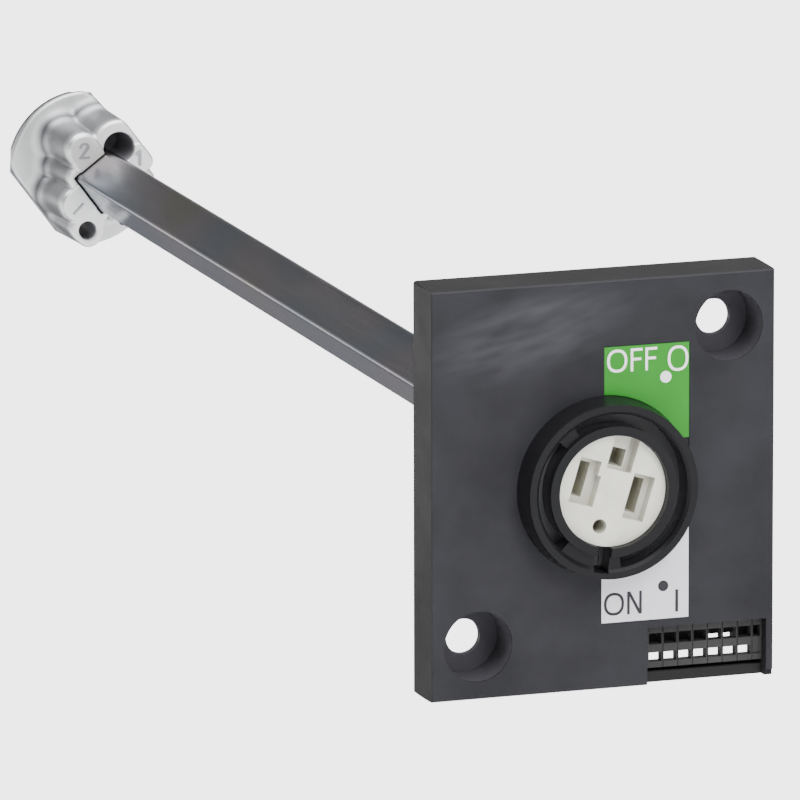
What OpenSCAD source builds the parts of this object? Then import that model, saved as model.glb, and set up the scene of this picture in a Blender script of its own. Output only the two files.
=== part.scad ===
// Front plate, square extension shaft and cast coupling of a rotary breaker operator.
// The front faces -Y, the shaft runs along +Y, +Z is up.
// The origin is on the turning axis, in the plane of the plate's back face.

/* [Front plate] */
// Width of the plate at its front edge
plate_w = 70; // [66:0.5:76]
// Height of the plate at its front edge
plate_h = 80.5; // [78:0.5:88]
// Depth of the plate from front to back
plate_d = 10.6; // [10:0.1:13]
// Thickness of the front skin
skin_t = 2.2; // [1.8:0.1:2.6]
// Thickness of the side walls
wall_t = 1.5; // [1.4:0.1:2]
// How far the back edge stands out past the front edge at the top and bottom
draft_z = 0.4; // [0:0.05:0.6]
// The same at the left and right
draft_x = 0.1; // [0:0.05:0.3]

/* [Mounting holes] */
// Distance of each hole from the axis, sideways
hole_x = 25.6; // [24:0.1:27]
// Distance of each hole from the axis, up or down
hole_z = 29.8; // [28:0.1:31]
// Radius of the through hole
hole_r = 3.5; // [3:0.1:4.5]
// Radius of the counterbore
sink_r = 6.95; // [6:0.05:7.2]
// Material left under the counterbore
sink_floor = 1.5; // [1:0.1:3]

/* [Guard collar] */
// Outer radius of the collar where it meets the plate
collar_r = 17.75; // [17:0.05:18]
// How much smaller that radius is at the collar's front
collar_taper = 0.6; // [0:0.1:1]
// How far the collar stands out of the plate
collar_out = 5.9; // [4:0.1:7]
// Inner radius of the collar's outer ring
ring_in = 15.2; // [14.8:0.1:15.6]
// Outer radius of the inner sleeve
sleeve_r = 12.9; // [12.6:0.1:13.4]
// Depth of the annular groove, from the collar's front
groove_d = 5; // [4:0.1:7]

/* [Label strip] */
// Width of the strip, from the plate's centre line to the right
label_w = 17.4; // [15:0.1:19]
// Height of the strip above and below the axis
label_h = 27.2; // [24:0.1:28]
// How far the lower label reaches to the left of the centre line
label_step = 0.45; // [0:0.05:1]
// Height above and below the axis where each label starts
label_gap = 8.4; // [6:0.1:10]
// Thickness of a label
label_t = 0.3; // [0.2:0.05:0.5]
// Height of the capital letters
cap_h = 4.5; // [3:0.1:6]

/* [Window grille] */
// Number of columns of windows
cols = 8; // [4:1:10]
// Left edge of the opening
grille_x = 9; // [8:0.1:10]
// Width of the opening
grille_w = 24.5; // [20:0.1:24.5]
// Height of the grille's top edge, below the axis
grille_top = 28.8; // [28:0.1:30]
// Height of the grille's bottom edge, below the axis
grille_low = 37.4; // [36:0.1:38]
// How far the grille lies behind the plate's front
grille_in = 2.4; // [1:0.1:3]

/* [Drive socket] */
// Radius of the socket's face
socket_r = 11; // [10:0.05:11]
// How far the face lies behind the collar's front
socket_in = 1.5; // [0:0.1:2]
// Angle of the socket in its drawn position, clockwise from upright
rotor_deg = 17; // [0:1:40]
// Depth of the two driving slots
slot_d = 8; // [4:0.5:8]
// Depth of the shallow recess round each slot
recess_d = 2.5; // [1:0.1:5]

/* [Shaft] */
// Side of the square bar
bar = 10; // [8:1:12]
// Rounding of the bar's long edges
bar_r = 0.9; // [0.2:0.1:1.5]
// Angle of the bar's first face from the X axis
bar_deg = 36.6; // [0:0.1:90]
// Length of bar between the plate's back and the coupling
reach = 310; // [120:1:500]

/* [Coupling] */
// Length of the cast body, front face to flange
body_l = 15.6; // [12:0.1:20]
// Radius of the round flange
flange_r = 17.3; // [16:0.1:19]
// Distance of the flange's left flat from the axis
flat_left = 13.4; // [12:0.1:15]
// Distance of the flange's right flat from the axis
flat_right = 11.4; // [11:0.1:15]
// Distance of the flange's lower flat from the axis
flat_low = 15.3; // [14:0.1:17]
// Clearance round the bar, on each side
bar_gap = 0.3; // [0.1:0.05:0.5]

/* [Hidden] */
$fn = 64;
cut = 0.01;
front_y = -plate_d;                     // plate's front face
collar_y = front_y - collar_out;        // collar's front face
face_y = collar_y + socket_in;          // socket's front face
spigot_r = ring_in + 1;                 // the part of the collar that passes through the plate
groove_y = collar_y + groove_d;
web_back = -4.5;                        // back of the collar's web and of the plate's hub
sleeve_back = -1.5;
hub_r = 21;                             // the plate's hub round the collar
run = 0.1;                              // running clearance of the socket in its sleeve
shoulder_y = -6;                        // the socket's shoulder
tail_r = 8;                             // the socket's tail
tail_back = 16;
bush_r = 9.5;
pin_y = 10;                             // roll pin through tail and shaft
pin_r = 1.5;
couple_y = reach;                       // coupling's front face
flange_y = couple_y + body_l;
flange_t = 1.6;
back_t = 1;                             // steel back plate
shaft_back = couple_y + 12;
shaft_front = -5.5;
screw_ring = 14.3;                      // retainer screws lie on this radius
neck_r = 11.8;                          // the sleeve behind its web
lip_t = 1.9;                            // bottom lip under the grille
lip_in = 2.8;                           // how far the lip lies behind the plate's front
pitch = 3.07;                           // from one window to the next
win_w = 2.64;
win_x = grille_x + 1.16;                // left edge of the first window
lobe = 8.5;                             // the lobes' distance from the axis
clamp_y = couple_y + 7.5;

// A flat outline in the X-Z plane, made solid from y0 back to y1
module slab(y0, y1) {
    translate([0, y1, 0]) rotate([90, 0, 0]) linear_extrude(y1 - y0) children();
}

// A round bar along Y
module rod(y0, y1, r) { slab(y0, y1) circle(r); }

// A rectangle given by its edges
module edges(x0, x1, z0, z1) { translate([x0, z0]) square([x1 - x0, z1 - z0]); }

// A rectangle with round corners, centred on the axis
module soft_square(w, h, r) {
    square([w - 2 * r, h], center = true);
    square([w, h - 2 * r], center = true);
    for (x = [-1, 1], z = [-1, 1]) translate([x * (w / 2 - r), z * (h / 2 - r)]) circle(r);
}

// The two fixing holes: upper right and lower left
module at_holes() { for (s = [-1, 1]) translate([s * hole_x, 0, s * hole_z]) children(); }

// One four-sided layer of the plate's drafted outside
module layer(y, w, h) { translate([-w / 2, y, -h / 2]) cube([w, cut, h]); }

// The plate's outside: drafted sides and a small bevel round the front
module plate_outside() {
    edge = 0.45;
    hull() {
        layer(-cut, plate_w + 2 * draft_x, plate_h + 2 * draft_z);
        layer(front_y + edge, plate_w, plate_h);
        layer(front_y, plate_w - edge, plate_h - edge);
    }
}

module face_plate() {
    in_w = plate_w - 2 * wall_t;
    in_h = plate_h - 2 * wall_t;
    color("#4e4c53") difference() {
        union() {
            intersection() {
                difference() {
                    plate_outside();
                    slab(front_y + skin_t, 1) square([in_w, in_h], center = true);
                }
                slab(front_y - 1, 0) soft_square(plate_w + 2 * draft_x, plate_h + 2 * draft_z, 0.6);
            }
            rod(front_y + skin_t - cut, web_back, hub_r);
            at_holes() rod(front_y + skin_t - cut, 0, sink_r + 1.6);
            // stiffening ribs behind the skin
            for (a = [0 : 45 : 315]) rotate([0, a, 0]) translate([hub_r - 1, front_y + skin_t - cut, -0.7])
                cube([in_w / 2 - hub_r + 1, web_back - front_y - skin_t, 1.4]);
            // frame round the window opening
            slab(front_y + skin_t - cut, -1.5)
                edges(grille_x - 1.5, grille_x, -in_h / 2, -grille_top + 1.5);
            slab(front_y + skin_t - cut, -1.5)
                edges(grille_x - 1.5, in_w / 2, -grille_top, -grille_top + 1.5);
            // shelf behind the upper row of windows, with two blocks that leave two columns half open
            slab(-5, -1.5) edges(grille_x - cut, in_w / 2 + cut, -32.4, -grille_top + cut);
            slab(-5, -1.5) edges(grille_x - cut, win_x + 4 * pitch + 1, -34.7, -32.3);
            slab(-5, -1.5) edges(win_x + 6 * pitch + 0.7, in_w / 2 + cut, -34.7, -32.3);
            // rail behind the slot under the grille
            slab(-5, -1.5) edges(grille_x - cut, in_w / 2 + cut, -plate_h / 2 + 1 - cut, -37.9);
            // bottom lip under the grille: a thin upright wall with a thin floor behind it
            slab(front_y + lip_in, front_y + lip_in + 1.2)
                edges(grille_x, plate_w / 2 - wall_t, -plate_h / 2 + 0.2, -plate_h / 2 + lip_t);
            slab(front_y + lip_in, -cut)
                edges(grille_x, plate_w / 2 - wall_t, -plate_h / 2 + 0.2, -plate_h / 2 + 1);
        }
        rod(front_y - 1, 1, spigot_r + 0.1);
        at_holes() {
            rod(front_y - 1, -sink_floor, sink_r);
            rod(-3, 1, hole_r);
        }
        // recess for the labels
        slab(front_y - 1, front_y + label_t) edges(0, label_w + 0.1, 0, label_h + 0.1);
        slab(front_y - 1, front_y + label_t) edges(-label_step - 0.05, label_w + 0.1, -label_h - 0.1, cut);
        // window opening, and the step down to the lip
        slab(front_y - 1, front_y + skin_t + cut)
            edges(grille_x, grille_x + grille_w, -plate_h / 2 + lip_t, -grille_top);
        slab(front_y - 1, front_y + lip_in)
            edges(grille_x, grille_x + grille_w, -plate_h / 2 - 2, -plate_h / 2 + lip_t);
        slab(front_y - 1, front_y + 0.9)
            edges(grille_x + 2, plate_w / 2 + 1, -plate_h / 2 - 2, -plate_h / 2 + 1.2);
    }
}

// The four retainer screws
module at_screws() { for (a = [45 : 90 : 315]) rotate([0, a, 0]) translate([screw_ring, 0, 0]) children(); }

// A wedge of the groove, between two angles measured from +X towards +Z
module groove_block(a0, a1, y0, y1) {
    slab(y0, y1) intersection() {
        difference() { circle(ring_in + 1.5); circle(sleeve_r - 0.4); }
        polygon([[0, 0], for (i = [0 : 4]) let (a = a0 + (a1 - a0) * i / 4) 30 * [cos(a), sin(a)]]);
    }
}

module guard_collar() {
    color("#35343a") difference() {
        union() {
            // outer ring standing on the plate
            translate([0, front_y, 0]) rotate([90, 0, 0])
                cylinder(r1 = collar_r, r2 = collar_r - collar_taper, h = collar_out);
            rod(front_y - cut, web_back, spigot_r);
        }
        // the groove, less its sleeve and its three stops
        difference() {
            rod(collar_y - 1, groove_y, ring_in);
            rod(collar_y - 2, groove_y + 1, sleeve_r);
            groove_block(121, 136, collar_y + 0.9, groove_y + 1);
            groove_block(226, 256, collar_y + 0.15, groove_y + 1);
            groove_block(264, 276, collar_y + 0.6, groove_y + 1);
        }
        // bevel round the ring's inner edge, clear of the stops
        difference() {
            translate([0, collar_y - cut, 0]) rotate([-90, 0, 0])
                cylinder(r1 = ring_in + 0.6, r2 = ring_in - 0.1, h = 0.7);
            rod(collar_y - 1, collar_y + 2, sleeve_r);
        }
        // notch through sleeve and groove between the two lower stops
        slab(collar_y - 1, groove_y - 0.3) intersection() {
            circle(ring_in + 0.8);
            rotate(-99.5) edges(socket_r - 0.5, 20, -1.5, 1.5);
        }
        // bore for the socket, and for the bush behind it
        rod(collar_y - 1, shoulder_y, socket_r + run);
        rod(shoulder_y - cut, 0, bush_r + 0.02);
        // room for the retainer plate
        slab(web_back - cut, 1) difference() { circle(30); circle(neck_r); }
        at_screws() rod(web_back - 3, 0, 1.2);
    }
    color("#35343a") slab(web_back - cut, sleeve_back) difference() { circle(neck_r); circle(bush_r + 0.02); }
}

// One label of the strip, from its left edge and between two heights
module label(x0, z0, z1) {
    slab(front_y, front_y + label_t) difference() {
        edges(x0, label_w, z0, z1);
        circle(collar_r + 0.1);
    }
}
module off_label() { color("#5eae52") label(0.05, label_gap, label_h); }
module on_label() { color("#d4d2d9") label(-label_step, -label_h, -label_gap); }

// Letters, drawn w wide and cap_h high with strokes s thick, from their lower left corner
stroke = 0.52;
function round_end(w, h, n) = [for (i = [0 : n - 1]) let (a = 360 * i / n)
    [w / 2 + sign(cos(a)) * w / 2 * pow(abs(cos(a)), 0.86), h / 2 + sign(sin(a)) * h / 2 * pow(abs(sin(a)), 0.86)]];
module letter_o(w, h, s) {
    difference() {
        polygon(round_end(w, h, 40));
        translate([s, s]) polygon(round_end(w - 2 * s, h - 2 * s, 40));
    }
}
module letter_f(w, h, s) {
    square([s, h]);
    translate([0, h - s]) square([w, s]);
    translate([0, h * 0.47]) square([w * 0.9, s]);
}
module letter_n(w, h, s) {
    square([s, h]);
    translate([w - s, 0]) square([s, h]);
    polygon([[0, h], [s * 1.2, h], [w, 0], [w - s * 1.2, 0]]);
}

print_t = 0.08;
module off_print() {
    color("white") slab(front_y - print_t, front_y) {
        translate([0.6, 22.15]) {
            letter_o(4.1, cap_h, stroke);
            translate([4.8, 0]) letter_f(2.4, cap_h, stroke);
            translate([7.8, 0]) letter_f(2.4, cap_h, stroke);
        }
        translate([13, 21.6]) letter_o(4.2, 5, stroke);
        translate([12.6, 20.6]) circle(1.15);
    }
}
module on_print() {
    color("#45444a") slab(front_y - print_t, front_y) {
        translate([0.05, -25.8]) {
            letter_o(4.1, cap_h, stroke);
            translate([4.75, 0]) letter_n(3, cap_h, stroke);
        }
        translate([14.7, -26]) square([stroke * 1.1, 4.4]);
        translate([12.2, -20.7]) circle(1.05);
    }
}

module window_grille() {
    back = front_y + grille_in + 2;
    gap = 0.05;
    x1 = grille_x + grille_w - gap;
    rows = [[-32.8, -30.6], [-36.25, -34.4]];   // lower and upper edge of each row
    color("#4a494c") difference() {
        slab(front_y + grille_in, back) edges(grille_x + gap, x1, -grille_low, -grille_top - gap);
        // the lower row stops one window short
        for (r = [0, 1], i = [0 : cols - 1 - r]) {
            x = win_x + i * pitch;
            slab(front_y, back + 1) edges(x, min(x + win_w, x1 - 0.3), rows[r][0], rows[r][1]);
        }
        // fine grooves between the columns, and one line under the closed window
        for (i = [1 : cols - 1])
            slab(front_y, front_y + grille_in + 0.2)
                edges(win_x + i * pitch - 0.34, win_x + i * pitch - 0.08, -grille_low - 1, -grille_top);
        slab(front_y, front_y + grille_in + 0.3)
            edges(win_x + (cols - 1) * pitch - 0.1, x1 - 0.3, rows[1][0], rows[1][0] + 0.35);
    }
}

module retainer_plate() {
    color("#9a9ca0") difference() {
        rod(web_back, web_back + 1.6, hub_r - 0.5);
        rod(web_back - 1, 0, neck_r + 0.1);
        at_screws() rod(web_back - 1, 0, 1.4);
    }
}

module retainer_screws() {
    head = web_back + 1.6;
    color("#b9bbc0") at_screws() difference() {
        union() {
            rod(web_back - 2.9, head + cut, 1.2);
            rod(head, head + 1.4, 2.05);
        }
        for (a = [0, 90]) rotate([0, a, 0]) translate([-1.2, head + 0.7, -0.25]) cube([2.4, 1, 0.5]);
    }
}

module bearing_bush() {
    color("#e8e4d8") slab(shoulder_y, sleeve_back) difference() { circle(bush_r); circle(tail_r + 0.05); }
    color("#e8e4d8") slab(sleeve_back, sleeve_back + 0.9) difference() { circle(11.6); circle(tail_r + 0.05); }
}

// Everything that turns is drawn in its own upright position inside this
module turned() { rotate([0, rotor_deg, 0]) children(); }

module drive_socket() {
    floor_y = face_y + slot_d;
    color("#d9dad2") turned() difference() {
        union() {
            rod(face_y, shoulder_y - 0.1, socket_r);
            rod(shoulder_y - 0.2, tail_back, tail_r);
        }
        // two shallow recesses, each with a deep driving slot in its left part
        slab(face_y - 1, face_y + recess_d) edges(-8, -3.6, -4, 5);
        slab(face_y - 1, face_y + recess_d) edges(-3.7, -2.9, -4, 2.2);
        slab(face_y - 1, floor_y) edges(-7.9, -4.9, -2.9, 4);
        slab(face_y - 1, face_y + recess_d) edges(3.6, 8, -4.6, 4.4);
        slab(face_y - 1, floor_y) edges(3.7, 6.8, -3.5, 3.4);
        // key pocket with its channel to the rim, and a narrow groove on the channel's right
        slab(face_y - 1, face_y + 1.6) edges(-2.35, 1.95, 4.1, 12);
        slab(face_y - 1, face_y + recess_d) edges(1.5, 2.8, 4.1, 12);
        slab(face_y - 1, floor_y - 1) edges(-2.3, 1.2, 4.7, 8.2);
        // small round locating hole
        translate([-0.35, 0, -7.3]) rod(face_y - 1, floor_y - 2, 1.42);
        // square hole for the shaft, from the back
        rotate([0, -rotor_deg, 0]) shaft_at(shaft_front, tail_back + 1, bar + 0.1, bar_r);
        // groove for the retaining ring, cross hole for the pin
        slab(0.1, 1.2) difference() { circle(tail_r + 1); circle(tail_r - 0.55); }
        rotate([0, -rotor_deg, 0]) cross_pin(pin_r, 20);
    }
}

// A square bar on the axis, from y0 back to y1
module shaft_at(y0, y1, side, r) {
    rotate([0, -bar_deg, 0]) slab(y0, y1) soft_square(side, side, r);
}

// The roll pin's line: square to one face of the bar
module cross_pin(r, l) {
    rotate([0, -bar_deg, 0]) translate([0, pin_y, 0]) cylinder(r = r, h = l, center = true);
}

module thrust_washer() {
    color("#a8aab0") slab(-0.55, 0.05) difference() { circle(10.6); circle(tail_r + 0.1); }
}

module retaining_ring() {
    color("#6c6e74") turned() slab(0.15, 1.15) difference() {
        union() {
            circle(tail_r + 1.1);
            for (s = [-1, 1]) rotate(-90 + s * 18) translate([tail_r + 1.6, 0]) circle(1.5);
        }
        circle(tail_r - 0.5);
        edges(-1.6, 1.6, -20, 0);
        for (s = [-1, 1]) rotate(-90 + s * 18) translate([tail_r + 1.7, 0]) circle(0.6);
    }
}

module square_shaft() {
    color("#a6a8ae") difference() {
        shaft_at(shaft_front, shaft_back, bar, bar_r);
        cross_pin(pin_r, 20);
    }
}

module shaft_pin() {
    color("#8a8c92") difference() {
        cross_pin(pin_r, 2 * tail_r - 0.2);
        cross_pin(0.7, 20);
    }
}

// Places on the casting, on axes square to the bar's faces
module cast_axes() { rotate([0, -bar_deg, 0]) children(); }
big_bore = [6.7, 4];
small_bore = [-9.8, -6.1];
lobes = [[lobe + 0.1, -0.8], [0.2, lobe], [-8.2, -0.2], [0, -7]];

module flange_outline(r) {
    intersection() {
        circle(r);
        edges(-flat_left, flat_right, -30, 30);
        rotate(240 - bar_deg) edges(-30, flat_low, -30, 30);
    }
}

module coupling_casting() {
    socket = bar + 2 * bar_gap;
    color("#c6c7c9") cast_axes() difference() {
        union() {
            slab(couple_y, flange_y) {
                soft_square(13.6, 13.6, 2.4);
                for (p = lobes) translate(p) circle(3.8);
                translate(big_bore) circle(6);
                translate(small_bore) circle(3.9);
                // web from the square core out to the small boss
                hull() { translate(small_bore) circle(3.2, $fn = 32); translate([-4, -4]) circle(3, $fn = 32); }
            }
            // flare and flange at the back
            intersection() {
                translate([0, flange_y - 6, 0]) rotate([-90, 0, 0]) cylinder(r1 = 10, r2 = flange_r - 0.5, h = 6);
                slab(couple_y, flange_y + 1) flange_outline(flange_r);
            }
            slab(flange_y - cut, flange_y + flange_t) flange_outline(flange_r);
        }
        slab(couple_y - 1, flange_y + 0.2) square(socket, center = true);
        translate([big_bore[0], 0, big_bore[1]]) rod(couple_y - 1, couple_y + 13, 3.4);
        translate([small_bore[0], 0, small_bore[1]]) rod(couple_y - 1, flange_y + 4, 1.95);
        // clamp screw hole from the right-hand underside, with its nut pocket
        translate([0, clamp_y, -4]) mirror([0, 0, 1]) cylinder(r = 2.6, h = 12);
        translate([-4.1, clamp_y - 4.1, -9.3]) cube([8.2, 8.2, 3.3]);
        for (s = [-1, 1]) translate([s * 8, 0, -s * 11.5]) rod(flange_y + 0.1, flange_y + 4, 1.5);
    }
}

// Raised figures 1 and 2, and a plain bar, on the lobes
module casting_marks() {
    w = 0.55;
    color("#cfd0d2") slab(couple_y - 0.3, couple_y) {
        rotate(bar_deg) translate([lobe + 0.5, -0.8]) rotate(-bar_deg) {
            edges(-w / 2, w / 2, -1.7, 1.7);
            polygon([[-w / 2, 1.7], [-1.1, 0.9], [-0.85, 0.55], [w / 2, 1.3]]);
        }
        rotate(bar_deg) translate([0.2, lobe + 0.2]) rotate(-bar_deg) {
            edges(-1.2, 1.2, -1.8, -1.8 + w);
            polygon([[-1.2, -1.4], [-0.55, -1.6], [1.1, 0.5], [0.6, 0.9]]);
            translate([0, 0.7]) intersection() {
                difference() { circle(1.15); circle(1.15 - w); }
                edges(-1.2, 1.2, -0.1, 1.2);
            }
        }
        rotate(bar_deg + 7) translate([-10.3, 0.1]) square([3.3, 0.4]);
    }
}

module back_plate() {
    back = flange_y + flange_t + back_t;
    color("#6e7076") cast_axes() difference() {
        slab(flange_y + flange_t, back) flange_outline(flange_r - 0.2);
        // where the arc meets the flats the corners are taken off
        for (a = [acos(flat_right / flange_r), -acos(flat_right / flange_r),
                  180 - acos(flat_left / flange_r), 240 - bar_deg + acos(flat_low / flange_r)])
            slab(flange_y, back + 1) rotate(a) edges(flange_r - 0.75, 30, -30, 30);
        translate([small_bore[0], 0, small_bore[1]]) rod(flange_y, back + 1, 1.95);
        for (s = [-1, 1]) translate([s * 8, 0, -s * 11.5]) {
            rod(flange_y, back + 1, 1.5);
            rod(back - 0.6, back + 1, 2.3);
        }
        slab(flange_y, back + 1) square([5, 14], center = true);
    }
}

// Two rivets with heads let in flush
module plate_rivets() {
    back = flange_y + flange_t + back_t;
    color("#9a9ca2") cast_axes() for (s = [-1, 1]) translate([s * 8, 0, -s * 11.5]) {
        rod(flange_y + 0.2, back - 0.3, 1.48);
        rod(back - 0.59, back, 2.28);
    }
}

module clamp_nut() {
    color("#a0a2a8") cast_axes() difference() {
        translate([-4, clamp_y - 4, -9.2]) cube([8, 8, 3]);
        translate([0, clamp_y, -12]) cylinder(r = 2.5, h = 12);
    }
}

module clamp_screw() {
    color("#77797f") cast_axes() difference() {
        translate([0, clamp_y, -bar / 2 - 7.5]) cylinder(r = 2.48, h = 7.45);
        translate([0, clamp_y, -bar / 2 - 8]) cylinder(r = 1.45, h = 3, $fn = 6);
    }
}

face_plate();
guard_collar();
off_label();
on_label();
off_print();
on_print();
window_grille();
retainer_plate();
retainer_screws();
bearing_bush();
drive_socket();
thrust_washer();
retaining_ring();
square_shaft();
shaft_pin();
coupling_casting();
back_plate();
plate_rivets();
clamp_screw();
clamp_nut();
casting_marks();
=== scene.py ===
import math

import bpy
import numpy as np
from mathutils import Matrix, Vector


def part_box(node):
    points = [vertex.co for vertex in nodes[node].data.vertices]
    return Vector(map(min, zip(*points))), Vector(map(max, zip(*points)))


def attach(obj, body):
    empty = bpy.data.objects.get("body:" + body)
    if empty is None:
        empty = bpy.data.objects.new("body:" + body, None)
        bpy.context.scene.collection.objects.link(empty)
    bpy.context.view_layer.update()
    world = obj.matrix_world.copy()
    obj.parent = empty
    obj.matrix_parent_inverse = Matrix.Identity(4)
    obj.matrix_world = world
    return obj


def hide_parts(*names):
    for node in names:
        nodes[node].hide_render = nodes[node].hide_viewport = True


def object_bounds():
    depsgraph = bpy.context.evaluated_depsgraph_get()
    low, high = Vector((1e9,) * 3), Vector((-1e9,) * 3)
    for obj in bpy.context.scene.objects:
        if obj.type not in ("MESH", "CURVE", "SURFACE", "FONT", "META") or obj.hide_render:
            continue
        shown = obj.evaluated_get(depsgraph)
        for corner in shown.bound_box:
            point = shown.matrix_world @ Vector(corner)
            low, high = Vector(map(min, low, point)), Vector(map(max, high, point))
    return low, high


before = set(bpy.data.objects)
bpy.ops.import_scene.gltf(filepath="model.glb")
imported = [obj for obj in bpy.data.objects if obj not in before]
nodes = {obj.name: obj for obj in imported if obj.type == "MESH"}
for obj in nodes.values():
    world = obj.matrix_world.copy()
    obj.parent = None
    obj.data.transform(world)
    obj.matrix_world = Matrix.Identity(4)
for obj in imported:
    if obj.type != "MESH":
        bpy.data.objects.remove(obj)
cadLow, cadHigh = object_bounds()
mm = 0.001
print("frame loaded,", len(nodes), "CAD pieces")


# sRGB hex to the linear colour that a socket takes
def hexLinear(code):
    parts = [int(code[i:i + 2], 16) / 255 for i in (1, 3, 5)]
    return (*[c / 12.92 if c <= 0.04045 else ((c + 0.055) / 1.055) ** 2.4 for c in parts], 1.0)


# adds a node: settings fill its inputs or its properties, links feed its inputs
def addNode(tree, kind, settings=None, links=None):
    made = tree.nodes.new(kind)
    for key, value in (settings or {}).items():
        if isinstance(key, int) or key in made.inputs:
            made.inputs[key].default_value = value
        else:
            setattr(made, key, value)
    for key, source in (links or {}).items():
        tree.links.new(source, made.inputs[key])
    return made


# a new material with its Principled shader and the object's own coordinates
def startMaterial(name, shaderSettings):
    made = bpy.data.materials.new(name)
    made.use_nodes = True
    tree = made.node_tree
    tree.nodes.clear()
    shader = addNode(tree, "ShaderNodeBsdfPrincipled", shaderSettings)
    output = addNode(tree, "ShaderNodeOutputMaterial", links={"Surface": shader.outputs["BSDF"]})
    place = addNode(tree, "ShaderNodeTexCoord").outputs["Object"]
    return made, tree, shader, place


# soft clouds from 0 to 1, about `size` metres across and squeezed along an axis by `stretch`
def cloudsAt(tree, place, size, detail=2.0, stretch=(1, 1, 1)):
    spot = addNode(tree, "ShaderNodeMapping", {"Scale": stretch}, {"Vector": place})
    noise = addNode(tree, "ShaderNodeTexNoise", {"Scale": 1 / size, "Detail": detail, "Roughness": 0.55},
                    {"Vector": spot.outputs["Vector"]})
    return addNode(tree, "ShaderNodeMapRange", {"From Min": 0.3, "From Max": 0.7},
                   {"Value": noise.outputs["Fac"]}).outputs["Result"]


# what every finish but the bar's shares: two close tones in soft clouds, a roughness that
# goes with them, and a fine grain. Gives back the colour, for a finish that adds to it
def dressSurface(tree, shader, place, look):
    clouds = cloudsAt(tree, place, look["cloud"], look.get("cloudDetail", 3), look.get("flow", (1, 1, 1)))
    rough = addNode(tree, "ShaderNodeMapRange", {"To Min": look["rough"][0], "To Max": look["rough"][1]},
                    {"Value": clouds})
    noise = addNode(tree, "ShaderNodeTexNoise",
                    {"Scale": 1 / look["grain"], "Detail": look.get("grainDetail", 1)}, {"Vector": place})
    grain = addNode(tree, "ShaderNodeBump", {"Distance": look["grainDepth"]},
                    {"Height": noise.outputs["Fac"]})
    tones = addNode(tree, "ShaderNodeMix", {"data_type": "RGBA", "A": hexLinear(look["dark"]),
                                            "B": hexLinear(look["pale"])}, {"Factor": clouds})
    tree.links.new(tones.outputs["Result"], shader.inputs["Base Color"])
    tree.links.new(rough.outputs["Result"], shader.inputs["Roughness"])
    tree.links.new(grain.outputs["Normal"], shader.inputs["Normal"])
    return tones.outputs["Result"]


# a disc or an oval seen from the front, 0 outside it and 1 within, with a soft rim
def ovalMask(tree, place, centre, halves, soft):
    scale = [1 / (half * mm) for half in halves]
    spot = addNode(tree, "ShaderNodeMapping",
                   {"Scale": (scale[0], 0, scale[1]),
                    "Location": (-centre[0] * mm * scale[0], 0, -centre[1] * mm * scale[1])},
                   {"Vector": place})
    ball = addNode(tree, "ShaderNodeTexGradient", {"gradient_type": "SPHERICAL"},
                   {"Vector": spot.outputs["Vector"]})
    return addNode(tree, "ShaderNodeMapRange", {"From Max": soft},
                   {"Value": ball.outputs["Fac"]}).outputs["Result"]


# how much of a zone's radius its soft rim takes
discRim = 0.02


# moves the colour towards a zone's own tone: the zones hold the painted shade and painted light
# down in recesses. A zone lies within a radius of its centre, comes in between its first two
# depths and stops at the third; all are in the CAD's millimetres
def toneInZone(tree, shader, place, colour, zone):
    depth = addNode(tree, "ShaderNodeSeparateXYZ", links={0: place}).outputs["Y"]
    starts, full, ends = zone["depth"]
    begun = addNode(tree, "ShaderNodeMapRange", {"From Min": starts * mm, "From Max": full * mm},
                    {"Value": depth})
    going = addNode(tree, "ShaderNodeMath", {"operation": "LESS_THAN", 1: ends * mm}, {0: depth})
    disc = ovalMask(tree, place, zone["centre"], (zone["radius"], zone["radius"]), discRim)
    inside = addNode(tree, "ShaderNodeMath", {"operation": "MULTIPLY"}, {0: disc, 1: going.outputs[0]})
    amount = addNode(tree, "ShaderNodeMath", {"operation": "MULTIPLY"},
                     {0: begun.outputs["Result"], 1: inside.outputs[0]})
    mixed = addNode(tree, "ShaderNodeMix", {"data_type": "RGBA", "B": hexLinear(zone["tone"])},
                    {"A": colour, "Factor": amount.outputs[0]})
    tree.links.new(mixed.outputs["Result"], shader.inputs["Base Color"])
    return mixed.outputs["Result"]


def mouldedPlastic(name, look, shaderSettings):
    made, tree, shader, place = startMaterial(name, shaderSettings)
    colour = dressSurface(tree, shader, place, look)
    for zone in look["paintedZones"]:
        colour = toneInZone(tree, shader, place, colour, zone)
    return made, tree, shader, place, colour


# Black glass-filled polyester, injection moulded in a spark-eroded tool: a dark grey skin
# whose fine grain breaks the highlight into a soft sheen. The grain is drawn coarser than it
# is, so that it shows. Behind the front face, on the sides and round the grille, the skin is
# drawn a little blacker as painted shade, and in the two screw wells paler as painted light,
# so that they read as hollows. A cloudy patch at the upper left of the face is drawn paler
# in streaks: a painted sheen.
behindFace = (-10.4, -9.9, 1)
housingLook = {
    "dark": "#262629", "pale": "#303034", "rough": (0.34, 0.5), "cloud": 18 * mm,
    "grain": 0.45 * mm, "grainDepth": 0.018 * mm, "index": 1.16,
    "paintedZones": [{"tone": "#232223", "depth": behindFace, "centre": (0, 0), "radius": 100},
              {"tone": "#454449", "depth": behindFace, "centre": (25.6, 29.8), "radius": 7.3},
              {"tone": "#454449", "depth": behindFace, "centre": (-25.6, -29.8), "radius": 7.3}],
    # the painted sheen: a paler streaked patch at the upper left of the face
    "sheenPatch": {"tone": "#4b4b50", "centre": (-15, 31), "halves": (24, 9), "rim": 0.55, "lean": 14,
            "most": 0.7, "streak": 4 * mm, "streakFlow": (0.25, 1, 1)}}
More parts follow.
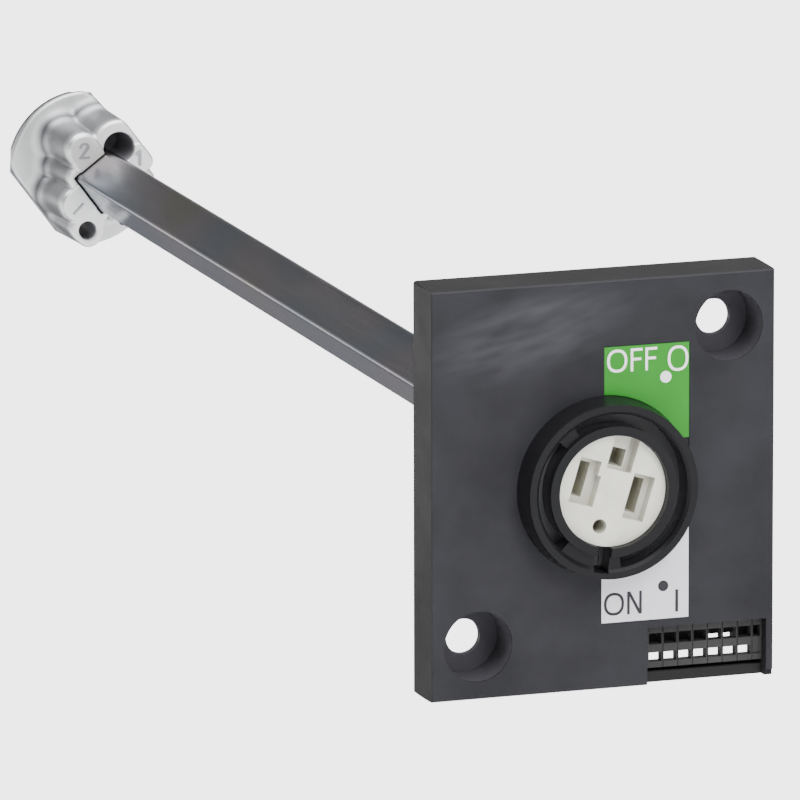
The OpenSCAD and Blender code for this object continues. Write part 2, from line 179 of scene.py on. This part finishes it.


# the housing's plastic, with the painted sheen mixed in on the front face alone
def housingPolyester(look):
    made, tree, shader, place, colour = mouldedPlastic("moulded black polyester", look,
                                                       {"IOR": look["index"]})
    sheenPatch = look["sheenPatch"]
    level = addNode(tree, "ShaderNodeVectorRotate",
                    {"rotation_type": "Y_AXIS", "Angle": math.radians(sheenPatch["lean"]),
                     "Center": (sheenPatch["centre"][0] * mm, 0, sheenPatch["centre"][1] * mm)},
                    {"Vector": place}).outputs["Vector"]
    oval = ovalMask(tree, level, sheenPatch["centre"], sheenPatch["halves"], sheenPatch["rim"])
    streaks = cloudsAt(tree, level, sheenPatch["streak"], 2, sheenPatch["streakFlow"])
    patch = addNode(tree, "ShaderNodeMath", {"operation": "MULTIPLY"}, {0: oval, 1: streaks})
    depth = addNode(tree, "ShaderNodeSeparateXYZ", links={0: place}).outputs["Y"]
    face = addNode(tree, "ShaderNodeMath", {"operation": "LESS_THAN", 1: behindFace[0] * mm}, {0: depth})
    onFace = addNode(tree, "ShaderNodeMath", {"operation": "MULTIPLY"},
                     {0: patch.outputs[0], 1: face.outputs[0]})
    amount = addNode(tree, "ShaderNodeMath", {"operation": "MULTIPLY", 1: sheenPatch["most"]},
                     {0: onFace.outputs[0]})
    paintedLight = addNode(tree, "ShaderNodeMix", {"data_type": "RGBA", "B": hexLinear(sheenPatch["tone"])},
                     {"A": colour, "Factor": amount.outputs[0]})
    tree.links.new(paintedLight.outputs["Result"], shader.inputs["Base Color"])
    return made


housingPlastic = housingPolyester(housingLook)

# The collar is the same plastic from a polished tool: blacker, with a tighter highlight, and
# drawn paler down in its groove as painted light.
collarLook = {
    "dark": "#161618", "pale": "#1a1a1c", "rough": (0.26, 0.36), "cloud": 18 * mm,
    "grain": 0.45 * mm, "grainDepth": 0.006 * mm, "index": 1.21,
    "paintedZones": [{"tone": "#48484b", "depth": (-15.6, -12.4, 1), "centre": (0, 0), "radius": 15.5}]}
collarPlastic = mouldedPlastic("satin black polyester", collarLook, {"IOR": collarLook["index"]})[0]

# The window insert is plain matt black polyamide: no zones, a flatter sheen.
grilleLook = dict(housingLook, dark="#333233", pale="#3c3b3c", rough=(0.42, 0.52),
                  grainDepth=0.01 * mm, paintedZones=[])
grillePlastic = mouldedPlastic("matt black polyamide", grilleLook, {"IOR": grilleLook["index"]})[0]

# Ivory polyamide, moulded: light goes a millimetre into it, so edges glow softly, and it has
# faint warm flow marks. Down in the pockets and the slots it is drawn darker and warmer as
# painted shade.
ivoryLook = {
    "dark": "#c8c7b9", "pale": "#d5d5cb", "rough": (0.34, 0.44), "cloud": 5 * mm, "cloudDetail": 2,
    "flow": (1, 0.4, 1), "grain": 0.5 * mm, "grainDepth": 0.006 * mm,
    "index": 1.53, "glow": 0.12, "glowDepth": 0.9 * mm, "glowColour": (1.0, 0.8, 0.55),
    "paintedZones": [{"tone": "#bdbcb0", "depth": (-14.8, -12.8, -6.7), "centre": (0, 0), "radius": 12},
              {"tone": "#a2a091", "depth": (-12.6, -9, -6.7), "centre": (0, 0), "radius": 12}]}
ivoryPlastic = mouldedPlastic("moulded ivory polyamide", ivoryLook,
                              {"IOR": ivoryLook["index"], "Subsurface Weight": ivoryLook["glow"],
                               "Subsurface Scale": ivoryLook["glowDepth"],
                               "Subsurface Radius": ivoryLook["glowColour"]})[0]

# Acetal, turned: white, waxy and smooth.
acetalLook = dict(housingLook, dark="#d8d5ca", pale="#e4e1d7", rough=(0.3, 0.36),
                  grainDepth=0.004 * mm, index=1.48, paintedZones=[])
acetalPlastic = mouldedPlastic("turned white acetal", acetalLook, {"IOR": acetalLook["index"]})[0]
print("plastics made")

# Printed polyester film: an even colour under a satin varnish with a faint orange peel.
filmLook = {"rough": (0.3, 0.38), "cloud": 9 * mm, "cloudDetail": 2, "grain": 1.6 * mm,
            "grainDepth": 0.01 * mm, "index": 1.3, "varnish": 0.04, "varnishRough": 0.18}


def printedFilm(name, dark, pale):
    made, tree, shader, place = startMaterial(name, {"IOR": filmLook["index"],
                                                     "Coat Weight": filmLook["varnish"],
                                                     "Coat Roughness": filmLook["varnishRough"]})
    dressSurface(tree, shader, place, dict(filmLook, dark=dark, pale=pale))
    return made


greenFilm = printedFilm("green printed film", "#237f1e", "#288423")
whiteFilm = printedFilm("white printed film", "#d6d4da", "#cfcdd4")

# Screen-printed ink: it has the film's satin and is slightly uneven in tone.
whiteInk = printedFilm("white screen ink", "#f4f6f2", "#eaeee9")
greyInk = printedFilm("dark grey screen ink", "#232126", "#2b292f")
print("labels made")

# Cold-drawn steel bar with bright zinc plating and a clear passivate: draw lines run along
# it, and the passivate film gives pale blue, pink and straw tints.
barLook = {"tints": ((0.1, "#6f7681"), (0.375, "#76787e"), (0.65, "#827a80"), (0.95, "#7b7a72")),
           "rough": (0.2, 0.27), "lineWidth": 0.35 * mm, "lineLength": 60, "lineDepth": 0.0006 * mm,
           "tintSize": 26 * mm, "tintLength": 2, "drawn": 0.35}


def platedBar(name, look):
    made, tree, shader, place = startMaterial(name, {"Metallic": 1.0, "Anisotropic": look["drawn"]})
    lines = cloudsAt(tree, place, look["lineWidth"], 2, (1, 1 / look["lineLength"], 1))
    tints = cloudsAt(tree, place, look["tintSize"], 1, (1, 1 / look["tintLength"], 1))
    ramp = addNode(tree, "ShaderNodeValToRGB", links={"Fac": tints})
    stops = ramp.color_ramp.elements
    for index, (spot, code) in enumerate(look["tints"]):
        stop = stops[index] if index < 1 else stops.new(spot)
        stop.position, stop.color = spot, hexLinear(code)
    stops.remove(stops[-1])
    rough = addNode(tree, "ShaderNodeMapRange", {"To Min": look["rough"][0], "To Max": look["rough"][1]},
                    {"Value": lines})
    drawn = addNode(tree, "ShaderNodeBump", {"Distance": look["lineDepth"]}, {"Height": lines})
    tree.links.new(ramp.outputs["Color"], shader.inputs["Base Color"])
    tree.links.new(rough.outputs["Result"], shader.inputs["Roughness"])
    tree.links.new(drawn.outputs["Normal"], shader.inputs["Normal"])
    return made


platedSteel = platedBar("bright zinc plated drawn steel", barLook)

# Pressure die-cast aluminium, blasted: an even pale satin with a very fine pitted skin, drawn
# coarser than it is. The sides of the lobes and the hollows between them are drawn greyer,
# and the bores darker and less like bare metal, as painted shade, so that the shape reads.
castLook = {"dark": "#d6d7d8", "pale": "#e2e3e4", "rough": (0.42, 0.52), "cloud": 6 * mm, "grain": 0.5 * mm,
            "grainDetail": 2, "grainDepth": 0.02 * mm, "hollowShade": "#5e6064", "bore": "#85858b"}


def blastedMetal(name, look):
    made, tree, shader, place = startMaterial(name, {"Metallic": 1.0})
    return made, tree, shader, dressSurface(tree, shader, place, look)


# mixes the painted shade of the hollows, then of the bores, into the colour; where the bores' shade is, the
# metal is taken away
def castSkin(look):
    made, tree, shader, colour = blastedMetal("blasted die-cast aluminium", look)
    for part in ("hollowShade", "bore"):
        amount = addNode(tree, "ShaderNodeAttribute", {"attribute_name": part}).outputs["Fac"]
        colour = addNode(tree, "ShaderNodeMix", {"data_type": "RGBA", "B": hexLinear(look[part])},
                         {"A": colour, "Factor": amount}).outputs["Result"]
    bare = addNode(tree, "ShaderNodeMath", {"operation": "SUBTRACT", 0: 1.0}, {1: amount})
    tree.links.new(colour, shader.inputs["Base Color"])
    tree.links.new(bare.outputs[0], shader.inputs["Metallic"])
    return made


castAluminium = castSkin(castLook)

# Zinc plated sheet and screws: paler than the bar, with a softer shine.
sheetLook = dict(castLook, dark="#a4a7ad", pale="#b2b5ba", rough=(0.28, 0.4), grainDepth=0.006 * mm)
platedSheet = blastedMetal("zinc plated sheet steel", sheetLook)[0]

# The plate on the back of the flange is the same sheet with a dark passivate.
darkSheet = blastedMetal("dark passivated sheet steel", dict(sheetLook, dark="#6f7176", pale="#7b7d82"))[0]

# Spring steel, oiled: dark grey with a soft shine.
springLook = dict(sheetLook, dark="#4c4d51", pale="#5d5e62", rough=(0.3, 0.42))
springSteel = blastedMetal("oiled spring steel", springLook)[0]

# The raised figures on the casting are drawn a little duller than it, so that they can be read:
# their darker colour is painted shade for the shade round their edges.
markLook = dict(castLook, dark="#9c9da0", pale="#a4a5a8")
markMetal = blastedMetal("rubbed die-cast aluminium", markLook)[0]
print("metals made")

# The coupling's casting: lobes, bosses and core run back into a flared flange with soft
# fillets, as cast metal does. It is worked out as a distance field on axes square to the
# bar, in millimetres, and meshed. The sizes follow the CAD piece, but its square socket is
# drawn closer round the bar. Each bore has its place, its radius and its boss's radius, and
# each lobe its place and radius.
cast = {"turn": 36.6, "front": 310.0, "flangeAt": 325.6, "back": 327.2,
        "step": 0.28, "margin": 1.1, "span": (37, 19.5, 37),
        "coreHalf": 6.8, "coreRound": 2.4, "draft": 0.035, "frontEdge": 0.9, "webHalf": 3.2,
        "lobes": ((8.6, -0.8, 3.8), (0.2, 8.5, 3.9), (-8.2, -0.2, 3.8), (0.0, -7.0, 3.8)),
        "padRise": 0.5, "padInset": 0.4, "padDepth": 2, "padEdge": 0.3, "padJoin": 0.15,
        "flange": 17.3, "flats": (13.4, 11.4, 15.3), "flatAngle": 240, "flatRound": 2.0,
        "flangeFrontEdge": 0.7, "flangeBackEdge": 0.3, "rimEdge": 0.6, "backEdge": 0.2,
        "crease": 0.7, "fillet": 3.6, "cutEdge": 0.35, "socketEdge": 0.12,
        "socket": (-5.25, 5.2, -5.3, 5.12), "socketCorner": 0.3, "socketFloor": 0.2,
        "bigBore": (6.7, 4.0, 3.4, 6.0), "bigBoreDepth": 13, "smallBore": (-9.8, -6.1, 1.95, 3.9),
        "screwAt": 317.5, "screwRadius": 2.6, "screwEnd": -4,
        "nutHalf": 4.1, "nutAt": -7.65, "nutThick": 1.65}

# How strongly the painted shade of the hollows and the bores comes in over the casting: the
# share of the fillet that the crease shade spans, the shade of the walls near the flange and
# above it, and the depths over which the walls and the bores take their painted shade.
castTone = {"creaseShare": 0.25, "creasePower": 0.7, "wall": 0.2, "wallMore": 0.5,
            "moreFrom": 1, "moreOver": 4, "wallFrom": 0.9, "wallOver": 2.5,
            "boreReach": 0.2, "boreFrom": 0.3, "boreOver": 1.2}


# the lesser of two fields, blended where they come within `reach` of each other
def softMin(a, b, reach):
    mix = np.clip(0.5 + 0.5 * (b - a) / reach, 0, 1)
    return b * (1 - mix) + a * mix - reach * mix * (1 - mix)


def softMax(a, b, reach):
    return -softMin(-a, -b, reach)


# distance to a rectangle with rounded corners
def boxField(x, y, halfX, halfY, rounding=0.0):
    qx, qy = abs(x) - halfX + rounding, abs(y) - halfY + rounding
    return np.hypot(np.maximum(qx, 0), np.maximum(qy, 0)) + np.minimum(np.maximum(qx, qy), 0) - rounding


# distance to the casting's skin, below 0 inside it; with `wantTone`, the two painted shade tones there
def castField(u, y, v, wantTone=False):
    deep = y - cast["front"]
    lean = cast["draft"] * deep
    # pads and bosses: each lobe is round outside and runs in to the core
    outline = boxField(u, v, cast["coreHalf"], cast["coreHalf"], cast["coreRound"])
    pads = np.full_like(u, 50.0)
    for place in cast["lobes"]:
        arm = np.clip((u * place[0] + v * place[1]) / (place[0] ** 2 + place[1] ** 2), 0, 1)
        lobe = np.hypot(u - arm * place[0], v - arm * place[1]) - place[2]
        outline = softMin(outline, lobe, cast["crease"])
        if place[1] > -1:
            pads = np.minimum(pads, lobe)
    for boreU, boreV, boreR, bossR in (cast["bigBore"], cast["smallBore"]):
        arm = np.clip((u * boreU + v * boreV) / (boreU ** 2 + boreV ** 2), 0, 1)
        boss = np.hypot(u - boreU, v - boreV) - bossR
        web = np.hypot(u - arm * boreU, v - arm * boreV) - cast["webHalf"]
        outline = softMin(outline, np.minimum(boss, web), cast["crease"])
    rise = cast["padRise"] - deep
    body = softMax(outline - lean, rise, cast["frontEdge"])
    pad = softMax(pads + cast["padInset"], -deep, cast["padEdge"])
    pad = softMax(pad, deep - cast["padDepth"], cast["padEdge"])
    body = softMin(body, pad, cast["padJoin"])
    # flange, flared towards its front by the fillet
    radius = np.hypot(u, v)
    left, right, low = cast["flats"]
    slant = math.radians(cast["flatAngle"] - cast["turn"])
    soft = cast["flatRound"]
    rim = softMax(softMax(softMax(radius - cast["flange"], -u - left, soft), u - right, soft),
                  u * math.cos(slant) + v * math.sin(slant) - low, soft)
    flange = softMax(rim, cast["flangeAt"] - y, cast["flangeFrontEdge"])
    flange = softMax(flange, y - cast["back"], cast["flangeBackEdge"])
    whole = softMin(body, flange, cast["fillet"])
    # painted shade: full in the fillet crease where the lobes meet the flange, and part on the lobe walls
    # behind the front edge, more of it further from the flange
    creaseSpan = castTone["creaseShare"] * cast["fillet"]
    crease = np.clip(np.minimum(body, flange) / creaseSpan, 0, 1) ** castTone["creasePower"]
    above = np.clip((flange - castTone["moreFrom"]) / castTone["moreOver"], 0, 1)
    begun = np.clip((deep - castTone["wallFrom"]) / castTone["wallOver"], 0, 1)
    hollowShade = np.maximum(crease, (castTone["wall"] + castTone["wallMore"] * above) * begun)
    whole = softMax(softMax(whole, rim, cast["rimEdge"]), y - cast["back"], cast["backEdge"])
    whole = np.maximum(whole, -deep)
    # square socket, bores, and the clamp screw's hole with its nut pocket
    lowU, highU, lowV, highV = cast["socket"]
    square = boxField(u - (lowU + highU) / 2, v - (lowV + highV) / 2,
                      (highU - lowU) / 2, (highV - lowV) / 2, cast["socketCorner"])
    cuts = [np.maximum(square, y - cast["flangeAt"] - cast["socketFloor"])]
    ringU, ringV, ringR = cast["bigBore"][:3]
    cuts.append(np.maximum(np.hypot(u - ringU, v - ringV) - ringR, deep - cast["bigBoreDepth"]))
    boreU, boreV, boreR = cast["smallBore"][:3]
    cuts.append(np.hypot(u - boreU, v - boreV) - boreR)
    along = y - cast["screwAt"]
    cuts.append(np.maximum(np.hypot(u, along) - cast["screwRadius"], v - cast["screwEnd"]))
    cuts.append(np.maximum(boxField(u, along, cast["nutHalf"], cast["nutHalf"]),
                           abs(v - cast["nutAt"]) - cast["nutThick"]))
    for index, cut in enumerate(cuts):
        whole = softMax(whole, -cut, cast["cutEdge"] if index else cast["socketEdge"])
    if wantTone:
        # painted shade in the bores, the socket and the screw's hole, coming in with depth
        close = np.clip(1.5 - np.min(np.abs(cuts), axis=0) / castTone["boreReach"], 0, 1)
        inCut = close * np.clip((deep - castTone["boreFrom"]) / castTone["boreOver"], 0, 1)
        return {"hollowShade": hollowShade * (1 - inCut), "bore": inCut}
    return whole


# one vertex in each grid cell that the surface crosses, and a quad round each crossed edge
def surfaceNet(values, low, step):
    cells = tuple(n - 1 for n in values.shape)
    total, count = np.zeros(cells + (3,)), np.zeros(cells)
    quads = []

    def shifted(array, shift, size):
        return array[tuple(slice(s, s + n) for s, n in zip(shift, size))]

    for axis in range(3):
        others = [k for k in range(3) if k != axis]
        for first in (0, 1):
            for second in (0, 1):
                start = [0, 0, 0]
                start[others[0]], start[others[1]] = first, second
                end = list(start)
                end[axis] = 1
                a, b = shifted(values, start, cells), shifted(values, end, cells)
                crossed = (a < 0) != (b < 0)
                part = np.where(crossed, a / np.where(crossed, a - b, 1), 0)
                spot = np.zeros(cells + (3,))
                spot[..., axis] = part
                spot[..., others[0]] = first
                spot[..., others[1]] = second
                total += spot * crossed[..., None]
                count += crossed
    used = count > 0
    number = np.full(cells, -1)
    number[used] = np.arange(used.sum())
    corners = np.argwhere(used) + total[used] / count[used][:, None]
    for axis in range(3):
        one, two = (axis + 1) % 3, (axis + 2) % 3
        size = list(cells)
        size[one] -= 1
        size[two] -= 1
        start = [0, 0, 0]
        start[one] = start[two] = 1
        end = list(start)
        end[axis] = 1
        a, b = shifted(values, start, size) < 0, shifted(values, end, size) < 0
        ring = []
        for first, second in ((0, 0), (1, 0), (1, 1), (0, 1)):
            at = [0, 0, 0]
            at[one], at[two] = first, second
            ring.append(shifted(number, at, size))
        ring = np.stack(ring, -1)
        quads += [ring[a & ~b], ring[b & ~a][:, ::-1]]
    return np.array(low) + corners * step, np.concatenate(quads)


# meshes the field, moves the points onto its skin in a few small steps, turns the mesh to the
# bar's angle and puts it in the CAD piece's place
def buildCasting():
    step = cast["step"]
    low = (-cast["span"][0] / 2, cast["front"] - cast["margin"], -cast["span"][2] / 2)
    axes = [low[k] + step * np.arange(int(span / step) + 1) for k, span in enumerate(cast["span"])]
    grid = np.meshgrid(*axes, indexing="ij")
    points, quads = surfaceNet(castField(*grid), low, step)
    nudge, leastSlope, longestMove = 0.02, 0.3, 0.2
    for again in range(3):
        here = castField(*points.T)
        moved = [castField(*(points + nudge * unit).T) for unit in np.eye(3)]
        slope = np.stack([(there - here) / nudge for there in moved], 1)
        push = here / np.maximum((slope ** 2).sum(1), leastSlope)
        points -= np.clip(push, -longestMove, longestMove)[:, None] * slope
    turn = math.radians(cast["turn"])
    x = points[:, 0] * math.cos(turn) - points[:, 2] * math.sin(turn)
    z = points[:, 0] * math.sin(turn) + points[:, 2] * math.cos(turn)
    made = bpy.data.meshes.new("castCoupling")
    made.from_pydata((np.stack([x, points[:, 1], z], 1) * mm).tolist(), [], quads.tolist())
    made.shade_smooth()
    for name, values in castField(*points.T, True).items():
        made.attributes.new(name, "FLOAT", "POINT").data.foreach_set("value", values.astype(np.float32))
    piece = bpy.data.objects.new("castCoupling", made)
    bpy.context.scene.collection.objects.link(piece)
    made.materials.append(castAluminium)
    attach(piece, "coupling")
    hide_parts("coupling_casting")


buildCasting()
print("casting meshed")

# The CAD pieces that stay get their finish and a rounded edge in millimetres, 0 for none.
finishes = {
    "face_plate": (housingPlastic, 0.3), "guard_collar": (collarPlastic, 0.25),
    "off_label": (greenFilm, 0), "on_label": (whiteFilm, 0),
    "off_print": (whiteInk, 0), "on_print": (greyInk, 0),
    "window_grille": (grillePlastic, 0.12), "retainer_plate": (platedSheet, 0.15),
    "retainer_screws": (platedSheet, 0.12), "bearing_bush": (acetalPlastic, 0.2),
    "drive_socket": (ivoryPlastic, 0.22), "thrust_washer": (springSteel, 0.1),
    "retaining_ring": (springSteel, 0.12), "square_shaft": (platedSteel, 0),
    "shaft_pin": (springSteel, 0.1), "casting_marks": (markMetal, 0.1),
    "back_plate": (darkSheet, 0.15), "plate_rivets": (platedSheet, 0.2),
    "clamp_screw": (springSteel, 0.1), "clamp_nut": (platedSheet, 0.15),
}


# flat faces are joined up first, then every sharp edge is rounded
def roundEdges(piece, radius):
    flat = piece.modifiers.new("joinFlats", "DECIMATE")
    flat.decimate_type = "DISSOLVE"
    flat.angle_limit = math.radians(1.5)
    flat.use_dissolve_boundaries = False
    edge = piece.modifiers.new("roundEdge", "BEVEL")
    edge.width = radius
    edge.segments = 2
    edge.limit_method = "ANGLE"
    edge.angle_limit = math.radians(35)
    edge.harden_normals = True
    edge.use_clamp_overlap = True


for name, (finish, radius) in finishes.items():
    piece = nodes[name]
    piece.data.materials.clear()
    piece.data.materials.append(finish)
    if radius:
        roundEdges(piece, radius * mm)
print("CAD pieces finished")

# A studio with a pale floor, a pale horizon and one broad soft light overhead; between
# them the walls are dark, so the bar's upper face has something dark to reflect. Seen
# straight on, floor and walls are one plain pale tone.
studio = {"floorDrop": 0.25, "floorSize": 60, "floorColour": "#f2f2f2", "level": 6.0,
          "sky": ((0.0, 0.19), (0.13, 0.16), (0.27, 0.045), (0.72, 0.045), (0.86, 1.0)),
          "plain": 4.0, "patch": "#5d5d61", "patchAt": (0.05, 0.95), "patchSize": 0.7,
          "patchEdge": 0.15, "keyAt": (0.2, -1.5, 1.2), "keySize": (0.9, 0.9), "keyPower": 36}

floorMesh = bpy.data.meshes.new("floor")
half = studio["floorSize"] / 2
corners = [(-half, -half, 0), (half, -half, 0), (half, half, 0), (-half, half, 0)]
floorMesh.from_pydata(corners, [], [(0, 1, 2, 3)])
floor = bpy.data.objects.new("floor", floorMesh)
floor.location.z = cadLow.z - studio["floorDrop"]
bpy.context.scene.collection.objects.link(floor)
paper, paperTree, paperShader, paperPlace = startMaterial(
    "pale paper", {"Base Color": hexLinear(studio["floorColour"]), "Roughness": 0.9})
floorMesh.materials.append(paper)
# a grey patch with a soft edge on the floor behind the object, for the shaft's lower faces
# to reflect
patchScale = 1 / studio["patchSize"]
patchSpot = addNode(paperTree, "ShaderNodeMapping",
                    {"Scale": (patchScale,) * 3,
                     "Location": (*[-c * patchScale for c in studio["patchAt"]], 0)},
                    {"Vector": paperPlace})
patch = addNode(paperTree, "ShaderNodeTexGradient", {"gradient_type": "SPHERICAL"},
                {"Vector": patchSpot.outputs["Vector"]}).outputs["Fac"]
within = addNode(paperTree, "ShaderNodeMapRange", {"From Max": studio["patchEdge"]}, {"Value": patch})
tones = addNode(paperTree, "ShaderNodeMix",
                {"data_type": "RGBA", "A": hexLinear(studio["floorColour"]),
                 "B": hexLinear(studio["patch"])}, {"Factor": within.outputs["Result"]})
paperTree.links.new(tones.outputs["Result"], paperShader.inputs["Base Color"])
paperOutput = next(node for node in paperTree.nodes if node.type == "OUTPUT_MATERIAL")
plain = addNode(paperTree, "ShaderNodeEmission", {"Strength": studio["plain"]})
shown = addNode(paperTree, "ShaderNodeMixShader",
                links={0: addNode(paperTree, "ShaderNodeLightPath").outputs["Is Camera Ray"],
                       1: paperShader.outputs["BSDF"], 2: plain.outputs["Emission"]})
paperTree.links.new(shown.outputs["Shader"], paperOutput.inputs["Surface"])

world = bpy.data.worlds.new("studio")
bpy.context.scene.world = world
world.use_nodes = True
sky = world.node_tree
height = addNode(sky, "ShaderNodeSeparateXYZ",
                 links={0: addNode(sky, "ShaderNodeTexCoord").outputs["Generated"]}).outputs["Z"]
glow = addNode(sky, "ShaderNodeValToRGB", links={"Fac": height})
glow.color_ramp.elements.remove(glow.color_ramp.elements[1])
for index, (place, value) in enumerate(studio["sky"]):
    stop = glow.color_ramp.elements[0] if index == 0 else glow.color_ramp.elements.new(place)
    stop.position = place
    stop.color = (value, value, value, 1)
pick = addNode(sky, "ShaderNodeMix", {"data_type": "RGBA"})
sky.links.new(addNode(sky, "ShaderNodeLightPath").outputs["Is Camera Ray"], pick.inputs["Factor"])
sky.links.new(glow.outputs["Color"], pick.inputs["A"])
pick.inputs["B"].default_value = (*[studio["plain"] / studio["level"]] * 3, 1)
sky.links.new(pick.outputs["Result"], sky.nodes["Background"].inputs["Color"])
sky.nodes["Background"].inputs["Strength"].default_value = studio["level"]


def softBox(name, spot, target, size, power):
    light = bpy.data.lights.new(name, "AREA")
    light.shape = "RECTANGLE"
    light.size, light.size_y = size
    light.energy = power
    lamp = bpy.data.objects.new(name, light)
    lamp.location = spot
    lamp.rotation_mode = "QUATERNION"
    lamp.rotation_quaternion = (Vector(target) - Vector(spot)).to_track_quat("-Z", "Y")
    bpy.context.scene.collection.objects.link(lamp)
    return lamp


softBox("keyBox", studio["keyAt"], (0, 0, 0), studio["keySize"], studio["keyPower"])

# The camera looks at the plate's front face, shifted aside and down so that the shaft is in view.
view = {"azimuth": -18.782, "elevation": 12.273, "roll": -0.117, "distance": 2.2, "lens": 514.3,
        "aside": 39.257 * mm, "down": 16.539 * mm}

camera = bpy.data.objects.new("camera", bpy.data.cameras.new("camera"))
bpy.context.scene.collection.objects.link(camera)
bpy.context.scene.camera = camera
a, e, r = (math.radians(view[k]) for k in ("azimuth", "elevation", "roll"))
back = Vector((math.sin(a) * math.cos(e), -math.cos(a) * math.cos(e), math.sin(e)))
right = Vector((math.cos(a), math.sin(a), 0))
up = back.cross(right)
right, up = math.cos(r) * right + math.sin(r) * up, math.cos(r) * up - math.sin(r) * right
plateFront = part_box("face_plate")[0].y
spot = Vector((0, plateFront, 0)) - view["aside"] * right + view["down"] * up + view["distance"] * back
camera.matrix_world = Matrix.Translation(spot) @ Matrix((right, up, back)).transposed().to_4x4()
camera.data.lens = view["lens"]
camera.data.clip_start, camera.data.clip_end = 0.1, 100
print("studio and camera set")
